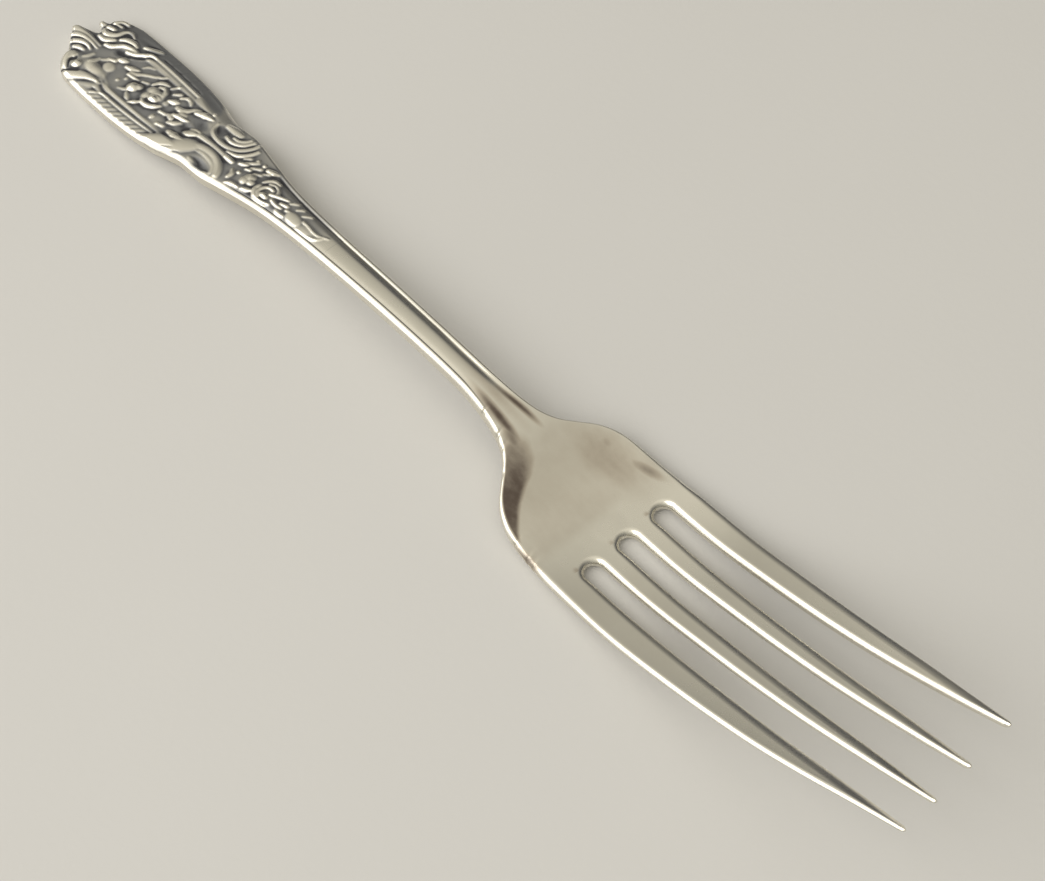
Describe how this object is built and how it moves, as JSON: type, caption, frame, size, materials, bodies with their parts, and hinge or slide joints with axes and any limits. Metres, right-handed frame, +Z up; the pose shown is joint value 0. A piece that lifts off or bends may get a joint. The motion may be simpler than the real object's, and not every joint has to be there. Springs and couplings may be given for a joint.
{
  "type": "dinner fork",
  "caption": "Table fork struck from silver: scrolled handle with a framed flower panel, threaded stem, dished head and long tapering tines.",
  "frame": {"origin": "on the table, under the middle of the fork's length and width", "axes": "+X along the fork from the handle to the tips of the tines, +Z up out of the dished side of the head, +Y to the left"},
  "size_m": [0.19, 0.0256, 0.0189],
  "materials": {
    "oxidised_silver": "aged silver, dark tarnish left in the recesses and bright wear on the high places",
    "worn_silver": "aged silver with a soft satin wear, fine scratches and a warm tarnish"
  },
  "bodies": {
    "root": {"handle_crest": "oxidised_silver", "flower_panel": "oxidised_silver", "scroll_shoulder": "oxidised_silver", "leaf_drop": "oxidised_silver", "stem": "worn_silver", "neck": "worn_silver", "root": "worn_silver", "tine_1": "worn_silver", "tine_2": "worn_silver", "tine_3": "worn_silver", "tine_4": "worn_silver"}
  },
  "joints": []
}
